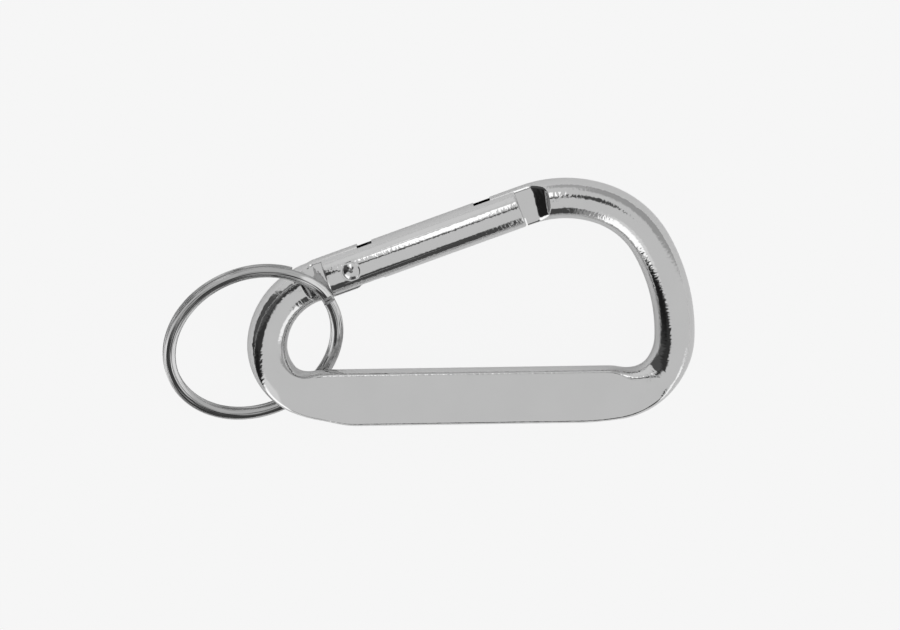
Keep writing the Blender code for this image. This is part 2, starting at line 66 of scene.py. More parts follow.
# the bends as (radius, turn in degrees): the corner's radii in millimetres, the eye's in shares of one
CORNER_ARCS = ((10.3, 88.4), (31.9, 31.4), (15.7, 40.5), (19.8, 38.95))
EYE_SHARES = ((0.746, 98.6), (1.0, 62.15))
HINGE_STRAIGHT = 7.15
SPINE_WIDTH = 10.06
SPINE_THICKNESS = 4.0
SPINE_FLAT_WIDTH = 8.4
TONGUE_HALF = 1.4
TONGUE_FILLET = 3.0
TONGUE_REACH = 2.2
TONGUE_HALF_HEIGHT = 3.7
TONGUE_CLIP = 0.4
TONGUE_EDGE = 0.14
GATE_RADIUS = 3.5
GATE_NOSE_END = 31.1
GATE_BACK_END = -4.6
NOSE_TIP = GATE_NOSE_END - 4.4
NOSE_ARC_END = GATE_NOSE_END + 1.2
NOSE_FILLET_START = GATE_NOSE_END + 2.4
NOSE_SEAT = 1.3 - GATE_RADIUS + 0.3
HINGE_FILLET_START = math.hypot(GATE_BACK_END, GATE_RADIUS) + 0.3
# the nose's hollow, in shares of its length and height: its round, its slope and where its rim starts
NOSE_ROUND = 0.22
NOSE_SLOPE = 0.74
NOSE_RIM = 0.70
PLUNGER_RADIUS = 1.38
FILLET_REACH = TONGUE_FILLET * math.sin(math.acos(1 - (ROD_RADIUS - TONGUE_HALF) / TONGUE_FILLET))
ROUND_SIDES = 72


def from_joint(name):
    """The place of a joint, in metres."""
    joint = next(entry for entry in frame["record"]["behaviour"]["joints"] if entry["name"] == name)
    return Vector(joint["pos_m"])


PIVOT = from_joint("gate_hinge")
GATE_FRAME = Matrix.Translation(PIVOT) @ Matrix.Rotation(GATE_HEADING, 4, "Z")


def bend(start, heading, arcs, side, distance):
    """Place and heading at a distance along a chain of (radius, turn) arcs that ends in a straight."""
    x, y = start
    for radius, turn in arcs:
        length = radius * math.radians(turn)
        part = min(distance, length)
        turned = side * part / radius
        chord = 2 * radius * math.sin(abs(turned) / 2)
        x += chord * math.cos(heading + turned / 2)
        y += chord * math.sin(heading + turned / 2)
        heading += turned
        distance -= part
    return x + distance * math.cos(heading), y + distance * math.sin(heading), heading


def smooth_step(value, start, end):
    """From 0 at the start to 1 at the end, with no kink at either."""
    share = min(1.0, max(0.0, (value - start) / (end - start)))
    return share * share * (3 - 2 * share)


GATEWARD = Vector((math.cos(GATE_HEADING), math.sin(GATE_HEADING)))
PIVOT_MM = Vector(PIVOT[:2]) / MM
EYE_END = PIVOT_MM - GATEWARD * HINGE_STRAIGHT
EYE_TURN = math.radians(sum(share * turn for share, turn in EYE_SHARES))
unit_x, unit_y, _ = bend((0, 0), math.pi, EYE_SHARES, -1, EYE_TURN)
EYE_RADIUS = EYE_END.y / unit_y
EYE_ARCS = tuple((EYE_RADIUS * share, turn) for share, turn in EYE_SHARES)
SPINE_LEFT = EYE_END.x - EYE_RADIUS * unit_x
SPINE_LENGTH = SPINE_RIGHT - SPINE_LEFT
EYE_LENGTH = sum(radius * math.radians(turn) for radius, turn in EYE_ARCS)
CORNER_LENGTH = sum(radius * math.radians(turn) for radius, turn in CORNER_ARCS)


def rod_place(distance, across, up):
    """From the straight bar to the bent rod. Distance counts from the spine's left end."""
    if distance < 0:
        x, y, heading = bend((SPINE_LEFT, 0), math.pi, EYE_ARCS, -1, -distance)
        outward = Vector((-math.sin(heading), math.cos(heading)))
    elif distance < SPINE_LENGTH:
        return Vector((SPINE_LEFT + distance, -across, MID_PLANE + up)) * MM
    else:
        beyond = distance - SPINE_LENGTH
        x, y, heading = bend((SPINE_RIGHT, 0), 0.0, CORNER_ARCS, 1, beyond)
        outward = Vector((math.sin(heading), -math.cos(heading)))
    return Vector((x + outward.x * across, y + outward.y * across, MID_PLANE + up)) * MM


# for each end of the spine: the stretches past it over which the outer and inner half width and the
# depth turn into the round rod's, the end of the flat and how far outwards its tip lies
CORNER_RUNS = ((-6.5, 11.5), (-1.5, 9.5), (0.0, 9.0), 9.0, 1.5)
EYE_RUNS = ((-6.0, 3.5), (0.0, 8.5), (2.0, 15.0), 14.0, 0.0)
EYE_FRONT_RUNS = ((-6.0, 3.5), (0.0, 8.5), (-1.0, 9.5), 14.0, 0.0)
FLAT_RUN_IN = 2.0
FLAT_SHIFT_RUN_OUT = 5.0
# up to the first angle the round bar's surface becomes the spine's side, and over the rest its flat
SIDE_ANGLE = 55
FLAT_ANGLE = 90 - SIDE_ANGLE


def spine_section(beyond, angle, outer, runs):
    """Point of the pressed spine's section, for an angle of the round bar's first quarter."""
    outer_run, inner_run, depth_run, flat_end, flat_shift = runs
    share = min(1.0, max(0.0, (beyond + FLAT_RUN_IN) / (flat_end + FLAT_RUN_IN)))
    shift = flat_shift * share * share * (1 - smooth_step(beyond, flat_end, flat_end + FLAT_SHIFT_RUN_OUT))
    width_share = smooth_step(beyond, *(outer_run if outer else inner_run))
    half_width = SPINE_WIDTH / 2 + (ROD_RADIUS - SPINE_WIDTH / 2) * width_share
    middle = shift if outer else -shift
    half_flat = half_width * SPINE_FLAT_WIDTH / SPINE_WIDTH * (1 - share * share) + middle
    press = smooth_step(beyond, *depth_run)
    half_depth = SPINE_THICKNESS / 2 + (ROD_RADIUS - SPINE_THICKNESS / 2) * press
    edge = half_width - half_flat
    opening = math.radians(FLAT_ANGLE) * press
    if angle <= SIDE_ANGLE:
        turn = angle / SIDE_ANGLE * (math.pi / 2 - opening)
        return half_flat + edge * math.cos(turn), half_depth * math.sin(turn)
    along = (90 - angle) / FLAT_ANGLE
    across = middle + (half_flat - middle) * along + edge * math.sin(opening * along)
    return across, half_depth * math.cos(opening * along)


def hinge_hollow(share):
    """Height of the round hollow at the hinge, from 0 to 1 along it."""
    rise = math.sqrt(TONGUE_FILLET ** 2 - (share * FILLET_REACH) ** 2)
    return (TONGUE_FILLET - rise) / (ROD_RADIUS - TONGUE_HALF)


def nose_hollow(share):
    """Height of the nose's hollow: a short round, then a slope that turns steep at the rim."""
    if share < NOSE_ROUND:
        return NOSE_SLOPE * share * share / (2 * NOSE_ROUND)
    height = NOSE_SLOPE * (share - NOSE_ROUND / 2)
    if share > NOSE_RIM:
        rest = 1 - NOSE_SLOPE * (1 - NOSE_ROUND / 2)
        height += rest * ((share - NOSE_RIM) / (1 - NOSE_RIM)) ** 2
    return height


# the round bar's angles where a tongue's side ends and its face begins, the same at the hollow's
# rim, and the stretch past the rim over which the points spread evenly round the rod again
TONGUE_SIDE_ANGLE = 50
TONGUE_FACE_ANGLE = 60
RIM_SIDE_ANGLE = 88.5
RIM_FACE_ANGLE = 89.5
SPREAD_RUN = 5.0


def tongue_section(past_fillet, angle, half_height, hollow):
    """Point of a tongue's section. past_fillet counts from the hollow's start towards the rod."""
    if past_fillet >= FILLET_REACH:
        spread = smooth_step(past_fillet, FILLET_REACH, FILLET_REACH + SPREAD_RUN)
        side = RIM_SIDE_ANGLE + (TONGUE_SIDE_ANGLE - RIM_SIDE_ANGLE) * spread
        face = RIM_FACE_ANGLE + (TONGUE_FACE_ANGLE - RIM_FACE_ANGLE) * spread
        if angle <= TONGUE_SIDE_ANGLE:
            turn = angle / TONGUE_SIDE_ANGLE * side
        elif angle < TONGUE_FACE_ANGLE:
            turn = (side + face) / 2
        else:
            turn = face + (angle - TONGUE_FACE_ANGLE) / (90 - TONGUE_FACE_ANGLE) * (90 - face)
        turn = math.radians(turn)
        return half_height * math.cos(turn), ROD_RADIUS * math.sin(turn)
    level = TONGUE_HALF + (ROD_RADIUS - TONGUE_HALF) * hollow(max(0.0, past_fillet) / FILLET_REACH)
    corner = math.asin(min(1.0, level / ROD_RADIUS))
    half_flat = half_height * math.cos(corner)
    last_side = corner - min(TONGUE_EDGE / ROD_RADIUS, corner / 2)
    first_flat = half_flat - min(TONGUE_EDGE, half_flat * 0.6)
    if angle <= TONGUE_SIDE_ANGLE:
        turn = angle / TONGUE_SIDE_ANGLE * last_side
        return half_height * math.cos(turn), ROD_RADIUS * math.sin(turn)
    if angle < TONGUE_FACE_ANGLE:
        across = (half_height * math.cos(last_side) + 2 * half_flat + first_flat) / 4
        return across, (ROD_RADIUS * math.sin(last_side) + 3 * level) / 4
    return first_flat * (90 - angle) / (90 - TONGUE_FACE_ANGLE), level


def rod_section(distance, angle):
    """Point of the formed section, where the straight bar had that angle round its axis."""
    quarter = math.degrees(math.asin(min(1.0, abs(math.sin(angle)))))
    outer = math.cos(angle) > 0
    eye_runs = EYE_FRONT_RUNS if math.sin(angle) > 0 else EYE_RUNS
    beyond_nose = SPINE_LENGTH + CORNER_LENGTH - distance
    if distance < 0:
        past_pivot = -distance - EYE_LENGTH - HINGE_STRAIGHT
        if past_pivot > -HINGE_FILLET_START - FILLET_REACH - SPREAD_RUN:
            into_straight = (past_pivot + HINGE_STRAIGHT) / (HINGE_STRAIGHT - HINGE_FILLET_START)
            taller = min(1.0, max(0.0, into_straight))
            half_height = ROD_RADIUS + (TONGUE_HALF_HEIGHT - ROD_RADIUS) * taller
            past_hollow = -HINGE_FILLET_START - past_pivot
            across, up = tongue_section(past_hollow, quarter, half_height, hinge_hollow)
        else:
            across, up = spine_section(-distance, quarter, outer, eye_runs)
    elif beyond_nose < NOSE_FILLET_START - NOSE_ARC_END + FILLET_REACH + SPREAD_RUN:
        past_hollow = beyond_nose + NOSE_ARC_END - NOSE_FILLET_START
        across, up = tongue_section(past_hollow, quarter, ROD_RADIUS, nose_hollow)
    elif distance > SPINE_LENGTH / 2:
        across, up = spine_section(distance - SPINE_LENGTH, quarter, outer, CORNER_RUNS)
    else:
        across, up = spine_section(-distance, quarter, outer, eye_runs)
    return across if outer else -across, math.copysign(up, math.sin(angle))


def spread(start, end, step):
    """Even places from the start up to, but without, the end."""
    count = max(1, math.ceil(abs(end - start) / step))
    return [start + (end - start) * index / count for index in range(count)]


# distances between the bar's rings, the stretch at the spine's ends with close ones, the number of
# rings in a hollow and how far the bar reaches past the hinge tongue's tip before that is cut
BEND_STEP = 0.5
SPINE_STEP = 8
TONGUE_STEP = 1.5
RIM_STEP = 0.25
SPINE_RUN_IN = 7.0
HOLLOW_RINGS = 24
TIP_SPARE = 2.0


def rod_stations():
    """Distances of the bar's rings: close together in the bends and closest in the hollows."""
    hinge_end = -EYE_LENGTH - HINGE_STRAIGHT - TONGUE_REACH - TIP_SPARE
    hinge_start = -EYE_LENGTH - HINGE_STRAIGHT + HINGE_FILLET_START
    nose_start = SPINE_LENGTH + CORNER_LENGTH - (NOSE_FILLET_START - NOSE_ARC_END)
    nose_end = SPINE_LENGTH + CORNER_LENGTH + NOSE_ARC_END - NOSE_TIP
    turns = [math.pi / 2 * index / HOLLOW_RINGS for index in range(HOLLOW_RINGS + 1)]
    hollow_turn = math.degrees(math.asin(FILLET_REACH / TONGUE_FILLET))
    hollow = [TONGUE_FILLET * math.sin(turn * hollow_turn / 90) for turn in turns]
    places = spread(hinge_end, hinge_start, TONGUE_STEP)
    places += [hinge_start + step for step in hollow]
    places += spread(places[-1] + RIM_STEP, -BEND_STEP, BEND_STEP) + spread(0.0, SPINE_RUN_IN, BEND_STEP)
    places += spread(SPINE_RUN_IN, SPINE_LENGTH - SPINE_RUN_IN, SPINE_STEP)
    places += spread(SPINE_LENGTH - SPINE_RUN_IN, SPINE_LENGTH, BEND_STEP)
    places += spread(SPINE_LENGTH, nose_start - FILLET_REACH - RIM_STEP, BEND_STEP)
    places += [nose_start - step for step in reversed(hollow)]
    places += spread(nose_start, nose_end, TONGUE_STEP)[1:] + [nose_end]
    return places


def start_fresh():
    """Object mode with nothing selected."""
    if bpy.context.mode != "OBJECT":
        bpy.ops.object.mode_set(mode="OBJECT")
    bpy.ops.object.select_all(action="DESELECT")


def named(name):
    """The object just made, with its place moved into its mesh."""
    item = bpy.context.active_object
    item.name = name
    item.data.name = name
    bpy.ops.object.transform_apply(location=True, rotation=True, scale=True)
    return item


def straight_bar(name, sides, radius, places):
    """Closed bar along X with a ring of vertices at each of the places, in millimetres."""
    start_fresh()
    bpy.ops.mesh.primitive_circle_add(vertices=sides, radius=radius * MM, fill_type="NGON",
                                      location=(places[0] * MM, 0, 0), rotation=(0, math.pi / 2, 0))
    bar = named(name)
    bpy.ops.object.mode_set(mode="EDIT")
    bpy.ops.mesh.select_all(action="SELECT")
    for place, after in zip(places, places[1:]):
        bpy.ops.mesh.extrude_region_move(TRANSFORM_OT_translate={"value": ((after - place) * MM, 0, 0)})
    bpy.ops.mesh.select_all(action="SELECT")
    bpy.ops.mesh.normals_make_consistent(inside=False)
    bpy.ops.object.mode_set(mode="OBJECT")
    return bar


def keep_straight_places(piece, bent, straight):
    """Keeps where each point was on the straight bar, so that the drawing lines follow the bends."""
    nearest = KDTree(len(bent))
    for index, place in enumerate(bent):
        nearest.insert(place, index)
    nearest.balance()
    lines = piece.data.attributes.new("along_bar", "FLOAT_VECTOR", "POINT")
    for vertex, entry in zip(piece.data.vertices, lines.data):
        entry.vector = straight[nearest.find(vertex.co)[1]]


def cut_out(piece, cutter):
    """Cuts a piece with another and removes the cutter."""
    start_fresh()
    piece.select_set(True)
    bpy.context.view_layer.objects.active = piece
    cut = piece.modifiers.new("cut", "BOOLEAN")
    cut.operation = "DIFFERENCE"
    cut.solver = "EXACT"
    cut.object = cutter
    bpy.ops.object.modifier_apply(modifier=cut.name)
    bpy.data.objects.remove(cutter, do_unlink=True)


def block(low, high, place):
    """Block between two corners in millimetres, set in the place's own axes."""
    start_fresh()
    middle = (Vector(low) + Vector(high)) / 2 * MM
    size = (Vector(high) - Vector(low)) * MM
    bpy.ops.mesh.primitive_cube_add(size=1.0, location=middle, scale=size)
    item = named("block")
    item.data.transform(place)
    return item


def round_bar(radius, low, high, sides, place, turn=0.0):
    """Round bar along Z in millimetres, turned about Y and set in the place's own axes."""
    start_fresh()
    bpy.ops.mesh.primitive_cylinder_add(vertices=sides, radius=radius * MM, depth=(high - low) * MM,
                                        location=(0, 0, (low + high) / 2 * MM))
    item = named("round_bar")
    item.data.transform(Matrix.Rotation(turn, 4, "Y"))
    item.data.transform(place)
    return item


# the plunger's distance from the hinge pin at rest and its lift for each radian that the gate
# opens, the gap to it, the angles over which the tip follows it and the reach of what is cut off
PLUNGER_AT_REST = 3.6
PLUNGER_LIFT = 1.8
CAM_GAP = 0.1
CAM_START = -8
CAM_SWEEP = 46
CAM_STEPS = 36
CUT_LENGTH = 6.2
CUT_HEIGHT = 5.7
CUT_PAST_CORNER = 2


def tongue_tip():
    """What is cut off past the hinge tongue's tip, with the round that lifts the plunger."""
    offset = PLUNGER_RADIUS + CAM_GAP
    round_end = []
    for index in range(CAM_STEPS + 1):
        opened = math.radians(CAM_START + CAM_SWEEP * index / CAM_STEPS)
        outward = Vector((math.cos(opened), -math.sin(opened)))
        onward = Vector((-math.sin(opened), -math.cos(opened)))
        radius = PLUNGER_AT_REST + PLUNGER_LIFT * opened
        along = outward * PLUNGER_LIFT + onward * radius
        inward = Vector((along.y, -along.x)).normalized()
        round_end.append(outward * radius + inward * offset)
    corner = Vector((-TONGUE_CLIP, -TONGUE_HALF_HEIGHT))
    past = corner + (corner - round_end[-1]).normalized() * CUT_PAST_CORNER
    outline = [(TONGUE_REACH, CUT_HEIGHT), (TONGUE_REACH, round_end[0].y + PLUNGER_RADIUS / 2)]
    outline += [tuple(point) for point in round_end]
    outline += [tuple(past), (CUT_LENGTH, past.y), (CUT_LENGTH, CUT_HEIGHT)]
    start_fresh()
    bpy.ops.mesh.primitive_circle_add(vertices=len(outline), radius=1.0, fill_type="NGON")
    item = named("tongue_tip")
    for vertex, (x, y) in zip(item.data.vertices, outline):
        vertex.co = Vector((x, y, -ROD_RADIUS)) * MM
    bpy.ops.object.mode_set(mode="EDIT")
    bpy.ops.mesh.select_all(action="SELECT")
    bpy.ops.mesh.extrude_region_move(TRANSFORM_OT_translate={"value": (0, 0, 2 * ROD_RADIUS * MM)})
    bpy.ops.mesh.select_all(action="SELECT")
    bpy.ops.mesh.normals_make_consistent(inside=False)
    bpy.ops.object.mode_set(mode="OBJECT")
    item.data.transform(GATE_FRAME)
    return item


def smooth(piece, degrees):
    """Shades a piece smooth, but keeps its edges that are sharper than the angle."""
    start_fresh()
    piece.select_set(True)
    bpy.context.view_layer.objects.active = piece
    bpy.ops.object.shade_smooth_by_angle(angle=math.radians(degrees))


# cells of noise in a metre along and across the bar, and the part of its own range that a noise keeps
DRAWN_ALONG = 60
DRAWN_ACROSS = 9000
RIPPLE_SCALE = (2000, 1300, 1300)
UNEVEN_SCALE = (160, 260, 260)
NOISE_RANGE = (0.3, 0.7)
TINT_RANGE = (0.985, 1.01)
ROUGHNESS_RANGE = (0.7, 1.4)
RIPPLE_LOST_ON_FLATS = 0.93


def metal(name, colour, roughness, lines, ripple, attribute="along_bar", across=DRAWN_ACROSS):
    """Worked metal: drawing lines along the bar, a slight ripple where it isn't pressed flat and a
    little uneven polish. Depths of lines and ripple are in millimetres."""
    material = bpy.data.materials.new(name)
    material.use_nodes = True
    tree = material.node_tree
    surface = tree.nodes["Principled BSDF"]
    surface.inputs["Metallic"].default_value = 1.0
    if attribute:
        place = tree.nodes.new("ShaderNodeAttribute")
        place.attribute_name = attribute
        place = place.outputs["Vector"]
    else:
        place = tree.nodes.new("ShaderNodeTexCoord").outputs["Object"]

    def noise(scale, detail):
        mapping = tree.nodes.new("ShaderNodeMapping")
        mapping.inputs["Scale"].default_value = scale
        tree.links.new(place, mapping.inputs["Vector"])
        texture = tree.nodes.new("ShaderNodeTexNoise")
        texture.inputs["Scale"].default_value = 1.0
        texture.inputs["Detail"].default_value = detail
        tree.links.new(mapping.outputs["Vector"], texture.inputs["Vector"])
        return texture.outputs["Fac"]

    def ranged(value, low, high):
        scaled = tree.nodes.new("ShaderNodeMapRange")
        scaled.inputs["From Min"].default_value = NOISE_RANGE[0]
        scaled.inputs["From Max"].default_value = NOISE_RANGE[1]
        scaled.inputs["To Min"].default_value = low
        scaled.inputs["To Max"].default_value = high
        tree.links.new(value, scaled.inputs["Value"])
        return scaled.outputs["Result"]

    drawn = noise((DRAWN_ALONG, across, across), 2.0)
    rippled = noise(RIPPLE_SCALE, 1.0)
    uneven = noise(UNEVEN_SCALE, 3.0)
    tint = tree.nodes.new("ShaderNodeMix")
    tint.data_type = "RGBA"
    for end, share in zip(("A", "B"), TINT_RANGE):
        tint.inputs[end].default_value = (*[part * share for part in colour], 1)
    tree.links.new(ranged(uneven, 0.0, 1.0), tint.inputs["Factor"])
    tree.links.new(tint.outputs["Result"], surface.inputs["Base Color"])
    low, high = (roughness * share for share in ROUGHNESS_RANGE)
    tree.links.new(ranged(drawn, low, high), surface.inputs["Roughness"])
    pressed = tree.nodes.new("ShaderNodeAttribute")
    pressed.attribute_name = "pressed_flat"
    calmed = tree.nodes.new("ShaderNodeMath")
    calmed.operation = "MULTIPLY_ADD"
    calmed.inputs[1].default_value = -RIPPLE_LOST_ON_FLATS
    calmed.inputs[2].default_value = 1.0
    tree.links.new(pressed.outputs["Fac"], calmed.inputs[0])
    height = None
    for value, depth in ((rippled, ripple), (drawn, lines)):
        bump = tree.nodes.new("ShaderNodeBump")
        bump.inputs["Strength"].default_value = 1.0
        bump.inputs["Distance"].default_value = depth * MM
        tree.links.new(value, bump.inputs["Height"])
        if height:
            tree.links.new(height, bump.inputs["Normal"])
        else:
            tree.links.new(calmed.outputs[0], bump.inputs["Strength"])
        height = bump.outputs["Normal"]
    tree.links.new(height, surface.inputs["Normal"])
    return material


BODY_PIN_HOLE = 1.18
HOLE_SIDES = 48
NOSE_END_GAP = 0.3
CUT_REACH = 7
CUT_PAST_END = 2
# how far past the spine's ends its front and back stay pressed flat, and the least height there
FLAT_PAST_EYE_END = 9.0
FLAT_PAST_CORNER_END = 6.0
FLAT_LEAST_HEIGHT = 0.8 * ROD_RADIUS * MM

body = straight_bar("rod_body", ROUND_SIDES, ROD_RADIUS, rod_stations())
straight = [vertex.co.copy() for vertex in body.data.vertices]
for vertex in body.data.vertices:
    angle = math.atan2(vertex.co.z, -vertex.co.y)
    bar_distance = vertex.co.x / MM
    vertex.co = rod_place(bar_distance, *rod_section(bar_distance, angle))
bent = [vertex.co.copy() for vertex in body.data.vertices]
cut_out(body, tongue_tip())
cut_out(body, round_bar(BODY_PIN_HOLE, -ROD_RADIUS, ROD_RADIUS, HOLE_SIDES, GATE_FRAME))
cut_out(body, block((NOSE_TIP - CUT_PAST_END, -CUT_REACH, -ROD_RADIUS),
                    (GATE_NOSE_END + NOSE_END_GAP, NOSE_SEAT, ROD_RADIUS), GATE_FRAME))
keep_straight_places(body, bent, straight)
pressed = body.data.attributes.new("pressed_flat", "FLOAT", "POINT")
hinge_tongue_end = -EYE_LENGTH - HINGE_STRAIGHT + HINGE_FILLET_START
nose_tongue_start = SPINE_LENGTH + CORNER_LENGTH - NOSE_FILLET_START + NOSE_ARC_END
for entry, mark in zip(body.data.attributes["along_bar"].data, pressed.data):
    bar_distance = entry.vector.x / MM
    in_tongue = bar_distance < hinge_tongue_end or bar_distance > nose_tongue_start
    in_spine = -FLAT_PAST_EYE_END < bar_distance < SPINE_LENGTH + FLAT_PAST_CORNER_END
    if abs(entry.vector.z) > FLAT_LEAST_HEIGHT and (in_tongue or in_spine):
        mark.value = 1.0
smooth(body, 50)
body.data.materials.append(metal("Polished aluminium rod", (0.72, 0.72, 0.72), roughness=0.06,
                                 lines=0.0001, ripple=0.034))
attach(body, "body")
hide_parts("body")

# ----------------------------------------------------------------------------------------------
# Gate: a straight piece of 7 mm aluminium rod that closes the hook. Its ends are rounded off, and a
# slot is milled in each: one through for the hinge tongue, one from above for the nose tongue.
GATE_SIDES = 96
GATE_EDGE = 0.3
SLOT_HALF = 1.55
SLOT_FLOOR = 1.3 - GATE_RADIUS
HINGE_SLOT_END = 4.9
NOSE_SLOT_LENGTH = 7.4
BORE_RADIUS = 1.5
BORE_START = 2.0
BORE_END = 16.0
GATE_PIN_HOLE = 1.13
SPOT_FACE_RADIUS = 1.8
SPOT_FACE_SIDES = 64
SPOT_FACE_LEVEL = GATE_RADIUS - 0.45


def round_off(piece, width, degrees, segments):
    """Rounds a piece's edges that are sharper than the angle."""
    start_fresh()
    piece.select_set(True)
    bpy.context.view_layer.objects.active = piece
    bevel = piece.modifiers.new("edges", "BEVEL")
    bevel.width = width * MM
    bevel.segments = segments
    bevel.limit_method = "ANGLE"
    bevel.angle_limit = math.radians(degrees)
    bpy.ops.object.modifier_apply(modifier=bevel.name)


start_fresh()
bpy.ops.mesh.primitive_cylinder_add(vertices=GATE_SIDES, radius=GATE_RADIUS * MM,
                                    depth=(GATE_NOSE_END - GATE_BACK_END) * MM,
                                    location=((GATE_NOSE_END + GATE_BACK_END) / 2 * MM, 0, 0),
                                    rotation=(0, math.pi / 2, 0))
gate = named("gate_rod")
round_off(gate, GATE_EDGE, 60, 4)
gate.data.transform(GATE_FRAME)
cut_out(gate, block((GATE_BACK_END - CUT_PAST_END, -CUT_REACH, -SLOT_HALF),
                    (HINGE_SLOT_END, CUT_REACH, SLOT_HALF), GATE_FRAME))
cut_out(gate, block((GATE_NOSE_END - NOSE_SLOT_LENGTH, SLOT_FLOOR, -SLOT_HALF),
                    (GATE_NOSE_END + CUT_PAST_END, CUT_REACH, SLOT_HALF), GATE_FRAME))
cut_out(gate, round_bar(BORE_RADIUS, BORE_START, BORE_END, HOLE_SIDES, GATE_FRAME, math.pi / 2))
cut_out(gate, round_bar(GATE_PIN_HOLE, -CUT_REACH, CUT_REACH, HOLE_SIDES, GATE_FRAME))
for low, high in ((SPOT_FACE_LEVEL, CUT_REACH), (-CUT_REACH, -SPOT_FACE_LEVEL)):
    cut_out(gate, round_bar(SPOT_FACE_RADIUS, low, high, SPOT_FACE_SIDES, GATE_FRAME))
bent = [vertex.co.copy() for vertex in gate.data.vertices]
keep_straight_places(gate, bent, [GATE_FRAME.inverted() @ place for place in bent])
smooth(gate, 32)
gate.data.materials.append(metal("Polished aluminium gate", (0.73, 0.73, 0.73), roughness=0.06,
                                 lines=0.0001, ripple=0.024))
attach(gate, "gate")
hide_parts("gate")

# ----------------------------------------------------------------------------------------------
# Hinge rivet: a soft aluminium pin through gate and tongue. Both its ends are pressed into low
# round heads that lie in the gate's spot faces.

# radius and height from the head's middle to the pin, in millimetres
RIVET_PROFILE = ((0.0, 3.56), (0.3, 3.54), (0.6, 3.48), (0.9, 3.39), (1.2, 3.26), (1.4, 3.15), (1.55, 3.06),
                 (1.58, 3.0), (1.58, 2.85), (1.10, 2.85))
RIVET_SIDES = 64


def turned(name, profile, sides, place):
    """Turned piece about Z, from a profile of (radius, height) in millimetres with both ends on Z."""
    start_fresh()
    bpy.ops.mesh.primitive_circle_add(vertices=sides, radius=profile[1][0] * MM, fill_type="TRIFAN",
                                      location=(0, 0, profile[1][1] * MM))
    item = named(name)
    centre = min(item.data.vertices, key=lambda vertex: vertex.co.xy.length)
    centre.co.z = profile[0][1] * MM
    bpy.ops.object.mode_set(mode="EDIT")
    bpy.ops.mesh.select_all(action="DESELECT")
    bpy.ops.mesh.select_mode(type="EDGE")
    bpy.ops.mesh.select_non_manifold()
    for (radius, height), (next_radius, next_height) in zip(profile[1:], profile[2:-1]):
        bpy.ops.mesh.extrude_edges_move(TRANSFORM_OT_translate={"value": (0, 0, (next_height - height) * MM)})
        if next_radius != radius:
            size = next_radius / radius
            bpy.ops.transform.resize(value=(size, size, 1), center_override=(0, 0, 0))
    bpy.ops.mesh.edge_face_add()
    bpy.ops.mesh.poke()
    bpy.ops.mesh.select_all(action="SELECT")
    bpy.ops.mesh.normals_make_consistent(inside=False)
    bpy.ops.object.mode_set(mode="OBJECT")
    last = min(item.data.vertices, key=lambda vertex: (vertex.co.xy.length, vertex.co.z))
    last.co.z = profile[-1][1] * MM
    item.data.transform(place)
    return item


lower_half = tuple((radius, -height) for radius, height in reversed(RIVET_PROFILE))
rivet = turned("hinge_pin", RIVET_PROFILE + lower_half, RIVET_SIDES, GATE_FRAME)
smooth(rivet, 40)
rivet.data.materials.append(metal("Staked aluminium pin", (0.72, 0.72, 0.72), roughness=0.10,
                                  lines=0.0002, ripple=0.008, attribute=None))
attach(rivet, "gate")
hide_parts("hinge_rivet")

# ----------------------------------------------------------------------------------------------
# Split ring: flat steel wire wound twice round and nickel plated. The two turns lie on each other,
# and each end is cut off square where the wire steps over to the other layer.
RING_MEAN_RADIUS = 14.95
RING_BAND = 2.1
RING_WIRE = 0.76
RING_PITCH = 0.90
RING_CROWN = 2.2
RING_CROSSOVER = 30.0
RING_END_ANGLE = 9.0
RING_END_GAP = 1.0
RING_STEPS = 360
RING_SIDES = 48
# how high the ring's raised side lies over its middle, the direction of its slope in degrees and how
# far below its middle the line lies that it swings about
RING_RISE = 7.475
RING_DIP = -53.0
RING_SWING_DROP = 3.75

ring_place = from_joint("ring_swing")
ring_tilt = math.asin(RING_RISE / RING_MEAN_RADIUS)
dip = math.radians(RING_DIP)
ring_normal = Vector((math.sin(ring_tilt) * math.cos(dip), math.sin(ring_tilt) * math.sin(dip),
                      math.cos(ring_tilt)))
ring_axis = Vector((-math.sin(dip), math.cos(dip), 0))
uphill = ring_normal.cross(ring_axis)
to_centre = RING_SWING_DROP / math.sin(ring_tilt)
RING_FRAME = Matrix.Translation(ring_place) @ Matrix((ring_axis, uphill, ring_normal)).transposed().to_4x4()
begin = RING_CROSSOVER / 2 + math.degrees(RING_END_GAP / RING_MEAN_RADIUS)
wire_length = math.radians(720 - 2 * begin) * RING_MEAN_RADIUS
ring = straight_bar("split_ring_wire", RING_SIDES, 1.0,
                    [wire_length * index / RING_STEPS for index in range(RING_STEPS + 1)])
straight = [vertex.co.copy() for vertex in ring.data.vertices]
for vertex in ring.data.vertices:
    bar_distance = vertex.co.x / MM
    round_angle = math.atan2(vertex.co.z, vertex.co.y)
    # the round wire is rolled flat: both faces stay slightly crowned and its edges round
    across, up = math.cos(round_angle), math.sin(round_angle)
    place = Vector((math.copysign(RING_BAND / 2 * abs(across) ** (2 / RING_CROWN), across),
                    math.copysign(RING_WIRE / 2 * abs(up) ** (2 / RING_CROWN), up)))
    turned_by = begin + math.degrees(bar_distance / RING_MEAN_RADIUS)
    layer = smooth_step(turned_by, 360 - RING_CROSSOVER / 2, 360 + RING_CROSSOVER / 2) - 0.5
    angle = math.radians(turned_by + RING_END_ANGLE)
    outward = RING_MEAN_RADIUS + place.x
    vertex.co = RING_FRAME @ (Vector((outward * math.cos(angle), to_centre + outward * math.sin(angle),
                                      RING_PITCH * layer + place.y)) * MM)
keep_straight_places(ring, [vertex.co.copy() for vertex in ring.data.vertices], straight)
start_fresh()
ring.select_set(True)
bpy.context.view_layer.objects.active = ring
bpy.ops.object.mode_set(mode="EDIT")
bpy.ops.mesh.select_all(action="SELECT")
